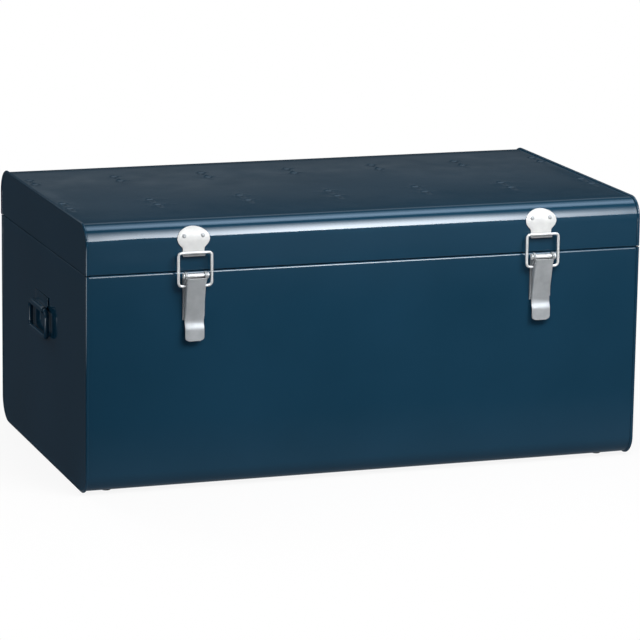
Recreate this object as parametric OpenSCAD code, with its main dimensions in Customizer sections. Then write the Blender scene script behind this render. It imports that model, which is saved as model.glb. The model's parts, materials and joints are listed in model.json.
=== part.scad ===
// Steel storage trunk: folded sheet body and lid, seamed end panels, continuous rear hinge,
// two draw latches, two drop handles and a pair of folding lid stays.
// +X is the trunk's right, the front faces -Y, +Z is up and z = 0 is the floor.

/* [Shell] */
// Width over the two end panels
trunk_w = 780; // [600:10:900]
// Depth of the body, front face to back face
trunk_d = 450; // [380:10:560]
// Height of the body, underside to the lid seam
body_h = 292.5; // [240:0.5:380]
// Height of the lid, seam to top
lid_h = 65; // [60:0.5:110]
// Thickness of the sheet steel
sheet_t = 0.9; // [0.7:0.1:1.2]
// Outer bend radius of the front edges
front_r = 26; // [22:1:30]
// Outer bend radius of the back edges
back_r = 32; // [24:1:36]
// How far the lid's back wall stands behind the body
lid_overhang = 4; // [3.8:0.1:5]
// Gap between lid and body all round
seam_gap = 1.4; // [1:0.1:2]
// Width of the folded seam round each end panel
bead_w = 4; // [3:0.5:6]
// Height of that seam above the sheet
bead_h = 2.2; // [1.5:0.1:3]
// Height of the foot glides
foot_h = 4; // [3:0.5:8]

/* [Latches] */
// Distance of each latch from the middle of the trunk
latch_x = 244.5; // [150:0.5:300]
// Width of the lever
lever_w = 26; // [20:1:32]
// Diameter of the pivot pin
latch_pin_d = 6; // [5:0.5:7]
// Diameter of the latch wire
wire_d = 3.6; // [2.8:0.1:3.6]
// Width of the wire loop, outside to outside
wire_w = 49; // [46:1:56]

/* [Handles] */
// Width of the drop handle, outside to outside
handle_w = 93; // [86:1:120]
// Drop of the handle, centre of the top bar to centre of the grip
handle_drop = 36; // [34:1:50]
// Diameter of the handle rod
handle_rod_d = 7; // [6:0.5:8]
// Height of the top bar above the body's underside
handle_rise = 208; // [120:2:220]

/* [Lid stays] */
// Length of each stay arm between its pivots
stay_len = 156; // [156:1:160]
// Width of the stay arms
stay_w = 12; // [10:1:14]
// Thickness of the stay arms
stay_t = 1.5; // [1.2:0.1:2]

/* [Hidden] */
$fn = 64;

LEFT = -1;
RIGHT = 1;
PAINT = [0.105, 0.225, 0.32];
PLATED = [0.82, 0.83, 0.84];
SATIN = [0.62, 0.63, 0.64];
RUBBER = [0.08, 0.08, 0.085];

// Clearances between one piece and the next
slip = 0.05;
running = 0.08;

// Depth of the parts that stand out of the body, which centre the trunk on y = 0
lever_reach = 17.5;
barrel_r = 3.2;
hinge_offset = barrel_r + 0.2;
mid_y = (lever_reach - hinge_offset - barrel_r) / 2;
front_y = mid_y - trunk_d / 2;
back_y = mid_y + trunk_d / 2;

seam_z = foot_h + body_h;
top_z = seam_z + lid_h;
half_w = trunk_w / 2;

// Continuous hinge, whose barrel sits just above the seam behind the back wall
hinge_y = back_y + hinge_offset;
hinge_z = seam_z + 3;
hinge_pin_r = 1.3;
leaf_t = 1;
leaf_h = 22;
leaf_gap = 0.6;
leaf_overlap = 1;
leaf_rivet_rise = 14.5;
knuckles = 25;
hinge_relief = barrel_r + 0.5;
hinge_rivets = 8;
hinge_rivet_margin = 40;

// Hem on the body's upper edge and the rim that locates the lid
hem_r = 2.2;
rim_inset = 4;
rim_down = 16;
rim_up = 11;

// Length of the cutters for shank holes, and how far a bore's cutter runs past each end
hole_len = 8;
past = 1;

// Points along an arc, for outlines
function arc(cx, cy, r, from, to, steps = 10) =
    [for (i = [0 : steps]) let (a = from + (to - from) * i / steps) [cx + r * cos(a), cy + r * sin(a)]];

// Unit normal to the left of the step from p to q
function normal(p, q) = let (d = q - p) [-d[1], d[0]] / norm(d);

// Point i of a path, moved t sideways along the mitre between its two steps
function mitre(path, i, t) = let (
        last = len(path) - 1,
        n0 = normal(path[max(i - 1, 0)], path[max(i, 1)]),
        n1 = normal(path[min(i, last - 1)], path[min(i + 1, last)])
    ) path[i] + (n0 + n1) * t / (1 + n0 * n1);

// Outline of a bent strip t thick whose one face follows the path
function strip(path, t) = concat(path, [for (i = [len(path) - 1 : -1 : 0]) mitre(path, i, t)]);

// A 2D outline in (Y, Z), extruded along X about x = 0
module along_x(length) {
    rotate([90, 0, 90])
        linear_extrude(length, center = true)
            children();
}

// A 2D outline in (distance outward from the front face, Z), extruded along X about x = 0
module on_front(length) {
    mirror([0, 1, 0])
        along_x(length)
            children();
}

// One bend and the two flats beside it; the child is the section as (outward, along the bend)
module bend_with_flats(r, wall, floor_run) {
    rotate_extrude(angle = 90)
        translate([r, 0])
            children();
    rotate([90, 0, 0])
        linear_extrude(wall)
            translate([r, 0])
                children();
    rotate([0, 0, 90])
        translate([0, floor_run, 0])
            rotate([90, 0, 0])
                linear_extrude(floor_run)
                    translate([r, 0])
                        children();
}

// A U of sheet about y = 0, standing on z = 0; the child section is (outward from the face, X)
module u_sweep(depth, front_wall, back_wall) {
    translate([0, front_r - depth / 2, front_r])
        rotate([-90, 0, -90])
            bend_with_flats(front_r, front_wall - front_r, depth / 2 - front_r)
                children();
    mirror([0, 1, 0])
        translate([0, back_r - depth / 2, back_r])
            rotate([-90, 0, -90])
                bend_with_flats(back_r, back_wall - back_r, depth / 2 - back_r)
                    children();
}

// Outline of an end panel as (Y, Z), open side up, inset from the outer face of the sheet
module end_outline(depth, wall, inset) {
    d = depth / 2 - inset;
    fr = front_r - inset;
    br = back_r - inset;
    translate([0, inset])
        polygon(concat(
            [[d, wall - inset]],
            [[-d, wall - inset]],
            arc(fr - d, fr, fr, 180, 270, 16),
            arc(d - br, br, br, 270, 360, 16)
        ));
}

// Section of the folded seam: outer lip, web and inner flange, with a slot for the sheet's edge
module seam_section() {
    lip = slip;
    flange = -sheet_t - slip;
    polygon([
        [lip, half_w - bead_w],
        [bead_h, half_w - bead_w],
        [bead_h, half_w],
        [flange - sheet_t, half_w],
        [flange - sheet_t, half_w - bead_w - flange_extra],
        [flange, half_w - bead_w - flange_extra],
        [flange, half_w - sheet_t],
        [lip, half_w - sheet_t]
    ]);
}

// Right-hand end panel: flat plate inside its folded seam
module end_panel(depth, front_wall, back_wall) {
    u_sweep(depth, front_wall, back_wall)
        seam_section();
    translate([half_w - sheet_t / 2, 0, 0])
        along_x(sheet_t)
            end_outline(depth, front_wall, sheet_t);
}

// Section of a sheet that fills the slots in both end seams
module wrapper_section() {
    span = trunk_w - 2 * (sheet_t + slip);
    translate([-sheet_t, -span / 2])
        square([sheet_t, span]);
}

module at_body() {
    translate([0, mid_y, foot_h])
        children();
}

module at_lid() {
    translate([0, mid_y + lid_overhang / 2, top_z])
        mirror([0, 0, 1])
            children();
}

// The space that the hinge barrel turns in
module hinge_space() {
    translate([0, hinge_y, hinge_z])
        rotate([0, 90, 0])
            cylinder(r = hinge_relief, h = trunk_w + 2 * past, center = true);
}

// ---- Body ----

// Shank hole along Y, centred on its wall
module hole_y(r) {
    rotate([90, 0, 0])
        cylinder(r = r, h = hole_len, center = true);
}

rivet_r = 1.5;
rivet_head_r = 2.8;
rivet_head_h = 1.4;
rivet_tail_r = 2.4;
lower_rivet_z = hinge_z - leaf_rivet_rise;
upper_rivet_z = hinge_z + leaf_rivet_rise;

module hinge_rivet_spots(z) {
    pitch = (trunk_w - 2 * hinge_rivet_margin) / (hinge_rivets - 1);
    for (i = [0 : hinge_rivets - 1])
        translate([(i - (hinge_rivets - 1) / 2) * pitch, back_y, z])
            children();
}

// Hem along the top of a wall, with its outer face on y = 0 and its top on z = 0
module hem(length) {
    translate([0, hem_r, -hem_r])
        rotate([90, 0, 90])
            rotate([0, 0, 90])
                translate([0, 0, -length / 2])
                    rotate_extrude(angle = 90)
                        translate([hem_r - sheet_t, 0])
                            square([sheet_t, length]);
    translate([-length / 2, hem_r, -sheet_t])
        cube([length, rim_inset - hem_r, sheet_t]);
}

// Length of the seam's inner flange beyond the lip
flange_extra = 1;
hem_front_w = trunk_w - 2 * (bead_w + flange_extra + slip);
hem_end_d = trunk_d - 2 * (rim_inset + hem_r);

glide_x = half_w - 38;
glide_inset = 38;
glide_r = 7;
stem_r = 2.5;

module glide_spots() {
    for (x = [-glide_x, glide_x], y = [front_y + glide_inset, back_y - glide_inset])
        translate([x, y, 0])
            children();
}

latch_rivet_z = [foot_h + 238, foot_h + 264];

module latch_rivet_spots() {
    for (side = [LEFT, RIGHT], z = latch_rivet_z)
        translate([side * latch_x, front_y, z])
            children();
}

module body_wrapper() {
    color(PAINT)
        difference() {
            union() {
                at_body()
                    u_sweep(trunk_d, body_h - hem_r, body_h - hem_r)
                        wrapper_section();
                translate([0, front_y, seam_z])
                    hem(hem_front_w);
                translate([0, back_y, seam_z])
                    mirror([0, 1, 0])
                        hem(hem_front_w);
            }
            hinge_rivet_spots(lower_rivet_z)
                hole_y(rivet_r + slip);
            latch_rivet_spots()
                hole_y(rivet_r + slip);
            glide_spots()
                cylinder(r = stem_r + slip, h = foot_h + hole_len);
        }
}

module body_end(side) {
    color(PAINT)
        mirror([side == LEFT ? 1 : 0, 0, 0])
            difference() {
                union() {
                    at_body()
                        end_panel(trunk_d, body_h - hem_r, body_h - hem_r);
                    translate([half_w, mid_y, seam_z])
                        rotate([0, 0, 90])
                            hem(hem_end_d);
                }
                hinge_space();
            }
}

module body_end_left() {
    body_end(LEFT);
}

module body_end_right() {
    body_end(RIGHT);
}

// Upright band inside the body's mouth that the lid closes over
module body_rim() {
    outer_w = trunk_w - 2 * (rim_inset + slip);
    outer_d = trunk_d - 2 * (rim_inset + slip);
    color(PAINT)
        translate([0, mid_y, seam_z - rim_down])
            linear_extrude(rim_down + rim_up)
                difference() {
                    square([outer_w, outer_d], center = true);
                    square([outer_w - 2 * sheet_t, outer_d - 2 * sheet_t], center = true);
                }
}

// Four push-in glides: a chamfered pad, a stem through the floor and a retaining collar
module foot_glides() {
    chamfer = 1;
    collar_r = stem_r + 1.5;
    collar_h = 1.5;
    color(RUBBER)
        glide_spots() {
            cylinder(r1 = glide_r - chamfer, r2 = glide_r, h = chamfer);
            translate([0, 0, chamfer])
                cylinder(r = glide_r, h = foot_h - chamfer);
            cylinder(r = stem_r, h = foot_h + sheet_t + slip + collar_h);
            translate([0, 0, foot_h + sheet_t + slip])
                cylinder(r = collar_r, h = collar_h);
        }
}

// ---- Lid ----

lid_d = trunk_d + lid_overhang;
lid_front_wall = lid_h - seam_gap;
lid_back_wall = top_z - hinge_z - hinge_relief;

// Frame on the lid's front bend: turned by the angle up from the front face, z pointing outward
module on_front_bend(angle) {
    translate([0, front_y + front_r, top_z - front_r])
        rotate([90 - angle, 0, 0])
            translate([0, 0, front_r])
                children();
}

keeper_rivet_angle = 17;
keeper_rivet_x = 12.75;

module keeper_rivet_spots() {
    for (side = [LEFT, RIGHT], dx = [-keeper_rivet_x, keeper_rivet_x])
        translate([side * latch_x + dx, 0, 0])
            on_front_bend(keeper_rivet_angle)
                children();
}

module lid_wrapper() {
    color(PAINT)
        difference() {
            at_lid()
                u_sweep(lid_d, lid_front_wall, lid_back_wall)
                    wrapper_section();
            hinge_rivet_spots(upper_rivet_z)
                hole_y(rivet_r + slip);
            keeper_rivet_spots()
                cylinder(r = rivet_r + slip, h = hole_len, center = true);
        }
}

module lid_end(side) {
    color(PAINT)
        mirror([side == LEFT ? 1 : 0, 0, 0])
            difference() {
                at_lid()
                    end_panel(lid_d, lid_front_wall, lid_front_wall);
                hinge_space();
            }
}

module lid_end_left() {
    lid_end(LEFT);
}

module lid_end_right() {
    lid_end(RIGHT);
}

// Hat-section stiffener under the lid's top, about the line y = 0 with its flanges up
stiffener_w = 52;
stiffener_h = 12;
stiffener_t = 0.8;
stiffener_end_gap = 4;
front_stiffener_y = front_y + 151;
rear_stiffener_y = front_y + 331;

module lid_stiffener(line_y) {
    crown_half = 13;
    foot_half = 16;
    path = [
        [-stiffener_w / 2, 0],
        [-foot_half, 0],
        [-crown_half, -stiffener_h],
        [crown_half, -stiffener_h],
        [foot_half, 0],
        [stiffener_w / 2, 0]
    ];
    color(PAINT)
        translate([0, line_y, top_z - sheet_t - stiffener_t - slip])
            along_x(trunk_w - 2 * (bead_w + stiffener_end_gap))
                polygon(strip(path, stiffener_t));
}

module lid_stiffener_front() {
    lid_stiffener(front_stiffener_y);
}

module lid_stiffener_rear() {
    lid_stiffener(rear_stiffener_y);
}

// ---- Hinge ----

barrel_w = trunk_w - 1;
knuckle_w = barrel_w / knuckles;
knuckle_gap = 0.3;
leaf_w = trunk_w - 2 * (bead_w + flange_extra + 0.5);

// Barrel knuckles from the first one, every second one
module barrel_knuckles(first) {
    translate([-barrel_w / 2, hinge_y, hinge_z])
        rotate([0, 90, 0])
            for (i = [first : 2 : knuckles - 1])
                translate([0, 0, i * knuckle_w + knuckle_gap / 2])
                    cylinder(r = barrel_r, h = knuckle_w - knuckle_gap);
}

// The same knuckles' tabs, from the leaf's edge into the barrel
module leaf_tabs(first, y, z0, z1) {
    inner = leaf_w / 2;
    for (i = [first : 2 : knuckles - 1]) {
        x0 = max(-inner, i * knuckle_w - barrel_w / 2 + knuckle_gap / 2);
        x1 = min(inner, (i + 1) * knuckle_w - barrel_w / 2 - knuckle_gap / 2);
        translate([x0, y, z0])
            cube([x1 - x0, leaf_t, z1 - z0]);
    }
}

module hinge_bore() {
    translate([0, hinge_y, hinge_z])
        rotate([0, 90, 0])
            cylinder(r = hinge_pin_r + running / 2, h = trunk_w + 2 * past, center = true);
}

// The lower leaf lies on the outside of the body's back wall
module hinge_leaf_lower() {
    leaf_top = hinge_z - barrel_r - leaf_gap;
    tab_top = hinge_z - 0.5;
    color(PAINT)
        difference() {
            union() {
                barrel_knuckles(0);
                translate([-leaf_w / 2, back_y, hinge_z - leaf_h])
                    cube([leaf_w, leaf_t, leaf_top - hinge_z + leaf_h]);
                leaf_tabs(0, back_y, leaf_top - leaf_overlap, tab_top);
            }
            hinge_bore();
            hinge_rivet_spots(lower_rivet_z)
                hole_y(rivet_r + slip);
        }
}

// The upper leaf lies on the inside of the lid's back wall
module hinge_leaf_upper() {
    leaf_y = back_y + lid_overhang - sheet_t - slip - leaf_t;
    leaf_bottom = hinge_z + barrel_r + leaf_gap;
    tab_bottom = hinge_z + hinge_pin_r + 0.3;
    color(PAINT)
        difference() {
            union() {
                barrel_knuckles(1);
                translate([-leaf_w / 2, leaf_y, leaf_bottom])
                    cube([leaf_w, leaf_t, hinge_z + leaf_h - leaf_bottom]);
                leaf_tabs(1, leaf_y, tab_bottom, leaf_bottom + leaf_overlap);
            }
            hinge_bore();
            hinge_rivet_spots(upper_rivet_z)
                hole_y(rivet_r + slip);
        }
}

module hinge_pin() {
    color(SATIN)
        translate([0, hinge_y, hinge_z])
            rotate([0, 90, 0])
                cylinder(r = hinge_pin_r, h = barrel_w, center = true);
}

// A rivet on z = 0: domed head above, shank through the grip, flat tail below
module rivet(grip) {
    dome_r = (pow(rivet_head_r, 2) + pow(rivet_head_h, 2)) / (2 * rivet_head_h);
    tail_h = 1;
    intersection() {
        translate([0, 0, rivet_head_h - dome_r])
            sphere(r = dome_r);
        cylinder(r = rivet_head_r + 1, h = rivet_head_h + 1);
    }
    translate([0, 0, -grip - tail_h])
        cylinder(r = rivet_r, h = grip + tail_h + rivet_head_h / 2);
    translate([0, 0, -grip - tail_h])
        cylinder(r = rivet_tail_r, h = tail_h);
}

module hinge_rivets_lower() {
    color(PAINT)
        hinge_rivet_spots(lower_rivet_z)
            translate([0, leaf_t, 0])
                rotate([-90, 0, 0])
                    rivet(leaf_t + sheet_t);
}

module hinge_rivets_upper() {
    color(PAINT)
        hinge_rivet_spots(upper_rivet_z)
            translate([0, lid_overhang, 0])
                rotate([-90, 0, 0])
                    rivet(leaf_t + sheet_t + slip);
}

// ---- Latches ----

keeper_t = 1.2;
keeper_head_z = foot_h + 336;
keeper_head_w = 44;
keeper_head_h = 29;
keeper_neck_w = 29.5;
keeper_foot_z = foot_h + 313.5;
keeper_lip_out = 5.6;
keeper_lip_r = 2.2;

module at_latch(side) {
    translate([side * latch_x, front_y, 0])
        children();
}

// Front outline of the keeper: an oval head on a straight neck
module keeper_outline() {
    step = 6;
    polygon([for (a = [0 : step : 360 - step])
        [keeper_head_w / 2 * cos(a), keeper_head_z + keeper_head_h / 2 * sin(a)]]);
    translate([-keeper_neck_w / 2, keeper_foot_z])
        square([keeper_neck_w, keeper_head_z - keeper_foot_z]);
}

// Rolled lip along the keeper's foot, and the web behind it
module keeper_lip() {
    roll_out = keeper_lip_out - keeper_lip_r;
    web_from = 0.4;
    web_h = 2 * keeper_t;
    on_front(keeper_neck_w) {
        translate([roll_out, keeper_foot_z + keeper_t])
            circle(r = keeper_lip_r);
        translate([web_from, keeper_foot_z])
            square([roll_out - web_from, web_h]);
    }
}

// Striker plate that follows the lid's rounded edge and ends in an outward lip
module keeper(side) {
    color(PLATED)
        difference() {
            union() {
                intersection() {
                    at_lid()
                        u_sweep(lid_d, lid_front_wall, lid_back_wall)
                            translate([0, side * latch_x - keeper_head_w])
                                square([keeper_t, 2 * keeper_head_w]);
                    translate([side * latch_x, front_y + front_r, 0])
                        rotate([90, 0, 0])
                            linear_extrude(2 * front_r)
                                keeper_outline();
                }
                at_latch(side)
                    keeper_lip();
            }
            keeper_rivet_spots()
                cylinder(r = rivet_r + slip, h = hole_len, center = true);
        }
}

module keeper_left() {
    keeper(LEFT);
}

module keeper_right() {
    keeper(RIGHT);
}

module keeper_rivets() {
    // The flat tails need room inside the bend's hollow face
    inner_r = front_r - sheet_t;
    hollow = inner_r - sqrt(inner_r * inner_r - rivet_tail_r * rivet_tail_r);
    color(PLATED)
        keeper_rivet_spots()
            translate([0, 0, keeper_t + slip])
                rivet(keeper_t + sheet_t + 2 * slip + hollow);
}

// Pivot pin of the lever, as (outward, height)
pin_out = 11;
pin_z = foot_h + 288.5;
// Wire's pivot in the lever, below the pin and a little closer to the body, past dead centre
wire_out = 8.5;
wire_z = pin_z - 14;
// The wire's top bar, which stands in front of the keeper's lip
bar_out = 7.8;
bar_z = foot_h + 318.3;

base_t = 1.2;
ear_t = 1.5;
ear_gap = 0.3;
lobe_r = 5.5;
ear_x = lever_w / 2 + ear_gap;
base_bottom = foot_h + 228;
base_top = foot_h + 283;

// Riveted plate with two ears that carry the pivot pin
module latch_base(side) {
    ear_foot = 14;
    ear_edges = [-44, 136];
    side_wall_out = 3.2;
    side_wall_from = base_bottom + 4;
    side_wall_to = base_top - 2;
    color(SATIN)
        at_latch(side)
            difference() {
                union() {
                    translate([-ear_x - ear_t, -base_t, base_bottom])
                        cube([2 * (ear_x + ear_t), base_t, base_top - base_bottom]);
                    for (flip = [LEFT, RIGHT])
                        translate([flip * (ear_x + ear_t / 2), 0, 0])
                            on_front(ear_t) {
                                translate([pin_out, pin_z])
                                    circle(r = lobe_r);
                                polygon([
                                    [0, base_top],
                                    [0, base_top - ear_foot],
                                    for (a = ear_edges)
                                        [pin_out + lobe_r * cos(a), pin_z + lobe_r * sin(a)]
                                ]);
                                translate([0, side_wall_from])
                                    square([side_wall_out, side_wall_to - side_wall_from]);
                            }
                }
                translate([0, -pin_out, pin_z])
                    rotate([0, 90, 0])
                        cylinder(r = latch_pin_d / 2 + running / 2, h = wire_w, center = true);
                for (z = latch_rivet_z)
                    translate([0, 0, z])
                        hole_y(rivet_r + slip);
            }
}

module latch_base_left() {
    latch_base(LEFT);
}

module latch_base_right() {
    latch_base(RIGHT);
}

module latch_rivets() {
    color(PLATED)
        latch_rivet_spots()
            translate([0, -base_t, 0])
                rotate([90, 0, 0])
                    rivet(base_t + sheet_t);
}

// Tubular pivot pin with flared ends
module latch_pin(side) {
    head = 2.3;
    neck_r = latch_pin_d / 2 + 0.8;
    flare_r = 4.3;
    rim_w = 1;
    bore_r = 1.4;
    reach = ear_x + ear_t + slip;
    color(PLATED)
        at_latch(side)
            translate([0, -pin_out, pin_z])
                rotate([0, 90, 0])
                    difference() {
                        union() {
                            cylinder(r = latch_pin_d / 2, h = 2 * reach, center = true);
                            for (flip = [0, 1])
                                mirror([0, 0, flip])
                                    translate([0, 0, reach])
                                        cylinder(r1 = neck_r, r2 = flare_r, h = head);
                        }
                        for (flip = [0, 1])
                            mirror([0, 0, flip])
                                translate([0, 0, reach - 1])
                                    cylinder(r1 = bore_r, r2 = flare_r - rim_w, h = head + 1.2);
                    }
}

module latch_pin_left() {
    latch_pin(LEFT);
}

module latch_pin_right() {
    latch_pin(RIGHT);
}

lever_t = 1.2;
lever_top_z = foot_h + 285.4;
lever_bend = [5.2, foot_h + 225.3];
tab_out = 8.8;
tab_bend_z = foot_h + 217.5;
tab_end_z = foot_h + 200.7;
tab_corner_r = 5;

// The lever's outer face from its top edge, down to the bend and out to the finger tab
lever_path = [
    [lever_reach, lever_top_z],
    lever_bend + [1.1, 5],
    lever_bend + [0.2, 1.5],
    lever_bend + [0.5, -1.5],
    [tab_out - 0.8, tab_bend_z + 1.5],
    [tab_out, tab_bend_z - 1],
    [tab_out, tab_end_z]
];

// Channel-section lever: face, side flanges round the pin, and finger tab
module latch_lever(side) {
    hw = lever_w / 2;
    // The flange's rear edge clears the base's rivet heads and narrows below the wire's pivot
    rear = base_t + 2.2;
    rear_from = wire_z - 16;
    rear_to = lever_bend[1] + 12;
    lobe_front = 35;
    lobe_rear = 188;
    wire_wall = 4.2;
    color(SATIN)
        at_latch(side)
            difference() {
                union() {
                    intersection() {
                        on_front(lever_w)
                            polygon(strip(lever_path, -lever_t));
                        rotate([90, 0, 0])
                            linear_extrude(2 * lever_reach)
                                polygon(concat(
                                    arc(tab_corner_r - hw, tab_end_z + tab_corner_r, tab_corner_r, 180, 270),
                                    arc(hw - tab_corner_r, tab_end_z + tab_corner_r, tab_corner_r, 270, 360),
                                    [[hw, pin_z], [-hw, pin_z]]
                                ));
                    }
                    for (flip = [LEFT, RIGHT])
                        translate([flip * (hw - lever_t / 2), 0, 0])
                            on_front(lever_t) {
                                translate([pin_out, pin_z])
                                    circle(r = lobe_r);
                                polygon([
                                    [lever_reach - lever_t / 2, lever_top_z],
                                    for (a = [lobe_front, lobe_rear])
                                        [pin_out + lobe_r * cos(a), pin_z + lobe_r * sin(a)],
                                    [wire_out - wire_wall, wire_z],
                                    [rear, rear_from],
                                    [rear, rear_to],
                                    lever_path[1] + [-lever_t / 2, 0]
                                ]);
                            }
                }
                translate([0, -pin_out, pin_z])
                    rotate([0, 90, 0])
                        cylinder(r = latch_pin_d / 2 + running / 2, h = wire_w, center = true);
                translate([0, -wire_out, wire_z])
                    rotate([0, 90, 0])
                        cylinder(r = wire_d / 2 + running / 2, h = wire_w, center = true);
            }
}

module latch_lever_left() {
    latch_lever(LEFT);
}

module latch_lever_right() {
    latch_lever(RIGHT);
}

// Quarter turn of round bar about the origin, from +X to +Y, in the XY plane
module bar_turn(bend_r, bar_r) {
    rotate_extrude(angle = 90)
        translate([bend_r, 0])
            circle(r = bar_r);
}

// Wire loop: top bar, two legs and two ends turned in through the lever's flanges
module latch_wire(side) {
    top_bend = 5;
    end_bend = 6;
    end_x = lever_w / 2 - lever_t - 1;
    leg_x = (wire_w - wire_d) / 2;
    rise = norm([bar_z - wire_z, bar_out - wire_out]);
    lean = atan2(bar_out - wire_out, bar_z - wire_z);
    r = wire_d / 2;
    color(PLATED)
        at_latch(side)
            translate([0, -wire_out, wire_z])
                rotate([90 + lean, 0, 0])
                    for (flip = [0, 1])
                        mirror([flip, 0, 0]) {
                            translate([0, rise, 0])
                                rotate([0, 90, 0])
                                    cylinder(r = r, h = leg_x - top_bend);
                            translate([leg_x - top_bend, rise - top_bend, 0])
                                bar_turn(top_bend, r);
                            translate([leg_x, end_bend, 0])
                                rotate([-90, 0, 0])
                                    cylinder(r = r, h = rise - top_bend - end_bend);
                            translate([leg_x - end_bend, end_bend, 0])
                                mirror([0, 1, 0])
                                    bar_turn(end_bend, r);
                            translate([end_x, 0, 0])
                                rotate([0, 90, 0])
                                    cylinder(r = r, h = leg_x - end_bend - end_x);
                        }
}

module latch_wire_left() {
    latch_wire(LEFT);
}

module latch_wire_right() {
    latch_wire(RIGHT);
}

// ---- Handles ----

handle_bar_z = foot_h + handle_rise;
handle_out = 4.9;
clip_t = 1.2;
clip_w = 66;
clip_up = 17;
handle_r = handle_rod_d / 2;

// Strap that curls over the handle's top bar and lies on the end panel above it
module handle_clip(side) {
    curl_r = handle_r + running / 2 + clip_t;
    // The curl stops short of the end panel, which leaves a slot
    slot = [2.6, 1.2];
    slot_from = [-0.5, -2.4];
    color(PAINT)
        mirror([side == LEFT ? 1 : 0, 0, 0])
            translate([half_w, mid_y, handle_bar_z])
                rotate([90, 0, 0])
                    linear_extrude(clip_w, center = true)
                        difference() {
                            union() {
                                translate([handle_out, 0])
                                    circle(r = curl_r);
                                square([clip_t, clip_up]);
                            }
                            translate([handle_out, 0])
                                circle(r = handle_r + running / 2);
                            translate(slot_from)
                                square(slot);
                        }
}

module handle_clip_left() {
    handle_clip(LEFT);
}

module handle_clip_right() {
    handle_clip(RIGHT);
}

// Closed loop of rod that hangs from its top bar
module handle(side) {
    bend = 8;
    half = (handle_w - handle_rod_d) / 2;
    color(PAINT)
        mirror([side == LEFT ? 1 : 0, 0, 0])
            translate([half_w + handle_out, mid_y, handle_bar_z - handle_drop / 2])
                rotate([90, 0, 90])
                    for (fx = [0, 1], fy = [0, 1])
                        mirror([fx, 0, 0])
                            mirror([0, fy, 0]) {
                                translate([half - bend, handle_drop / 2 - bend, 0])
                                    bar_turn(bend, handle_r);
                                translate([0, handle_drop / 2, 0])
                                    rotate([0, 90, 0])
                                        cylinder(r = handle_r, h = half - bend);
                                translate([half, 0, 0])
                                    rotate([-90, 0, 0])
                                        cylinder(r = handle_r, h = handle_drop / 2 - bend);
                            }
}

module handle_left() {
    handle(LEFT);
}

module handle_right() {
    handle(RIGHT);
}

// ---- Lid stays ----

// Pivots as (forward of the hinge axis, above it), with the lid shut
stay_body = [120, -70];
stay_lid = [190, 28];
stay_chord = stay_lid - stay_body;
stay_half = norm(stay_chord) / 2;
stay_out = sqrt(stay_len * stay_len - stay_half * stay_half);
stay_elbow = stay_body + stay_chord / 2 + [stay_chord[1], -stay_chord[0]] * stay_out / (2 * stay_half);

stay_pivot_r = 2.5;
stay_head_r = 5;
stay_head_t = 1.5;
stay_gap = 0.2;
// Outer faces of the two arms, outboard to inboard
stay_lower_x = half_w - 6.6;
stay_upper_x = stay_lower_x - stay_t - stay_gap;

// Frame on a pivot at the right-hand end: z points inboard from the stated x
module at_stay(pivot, x) {
    translate([x, hinge_y - pivot[0], hinge_z + pivot[1]])
        rotate([0, -90, 0])
            children();
}

// Flat arm between two pivots, with eyes a little wider than the bar and a hole in its first eye
module stay_arm(from, to, x) {
    bar_w = stay_w - 3;
    inset = stay_pivot_r + 1;
    d = to - from;
    at_stay(from, x)
        rotate([0, 0, -atan2(d[0], d[1])])
            linear_extrude(stay_t)
                difference() {
                    union() {
                        circle(r = stay_w / 2);
                        translate([norm(d), 0])
                            circle(r = stay_w / 2);
                        translate([inset, -bar_w / 2])
                            square([norm(d) - 2 * inset, bar_w]);
                    }
                    circle(r = stay_pivot_r + running / 2);
                }
}

// Stud welded to the inside of an end panel: foot, spacer and, where it carries an arm, a riveted tip
module stay_stud(pivot, carries) {
    wall_x = half_w - sheet_t;
    spacer = wall_x - stay_lower_x;
    tip = carries ? stay_t + 2 * stay_gap : stay_t;
    at_stay(pivot, wall_x) {
        cylinder(r = stay_head_r + 2, h = stay_head_t);
        cylinder(r = stay_head_r, h = spacer - stay_gap);
        cylinder(r = stay_pivot_r, h = spacer + tip);
        if (carries)
            translate([0, 0, spacer + stay_t + stay_gap])
                cylinder(r = stay_head_r, h = stay_head_t);
    }
}

module stay_body_studs() {
    color(SATIN)
        for (flip = [0, 1])
            mirror([flip, 0, 0])
                stay_stud(stay_body, true);
}

module stay_lid_studs() {
    color(SATIN)
        for (flip = [0, 1])
            mirror([flip, 0, 0])
                stay_stud(stay_lid, false);
}

// The lower arm carries the elbow rivet
module stay_lower(side) {
    color(SATIN)
        mirror([side == LEFT ? 1 : 0, 0, 0]) {
            stay_arm(stay_body, stay_elbow, stay_lower_x);
            at_stay(stay_elbow, stay_lower_x + 1)
                cylinder(r = stay_head_r - 1, h = 1.2);
            at_stay(stay_elbow, stay_lower_x)
                cylinder(r = stay_pivot_r, h = 2 * stay_t + 2 * stay_gap + 1);
            at_stay(stay_elbow, stay_upper_x - stay_t - stay_gap)
                cylinder(r = stay_head_r, h = stay_head_t);
        }
}

module stay_lower_left() {
    stay_lower(LEFT);
}

module stay_lower_right() {
    stay_lower(RIGHT);
}

// The upper arm carries the round head at the lid's stud
module stay_upper(side) {
    color(SATIN)
        mirror([side == LEFT ? 1 : 0, 0, 0]) {
            stay_arm(stay_elbow, stay_lid, stay_upper_x);
            at_stay(stay_lid, stay_upper_x - stay_t + 0.5)
                cylinder(r = stay_head_r, h = 2);
        }
}

module stay_upper_left() {
    stay_upper(LEFT);
}

module stay_upper_right() {
    stay_upper(RIGHT);
}

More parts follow.
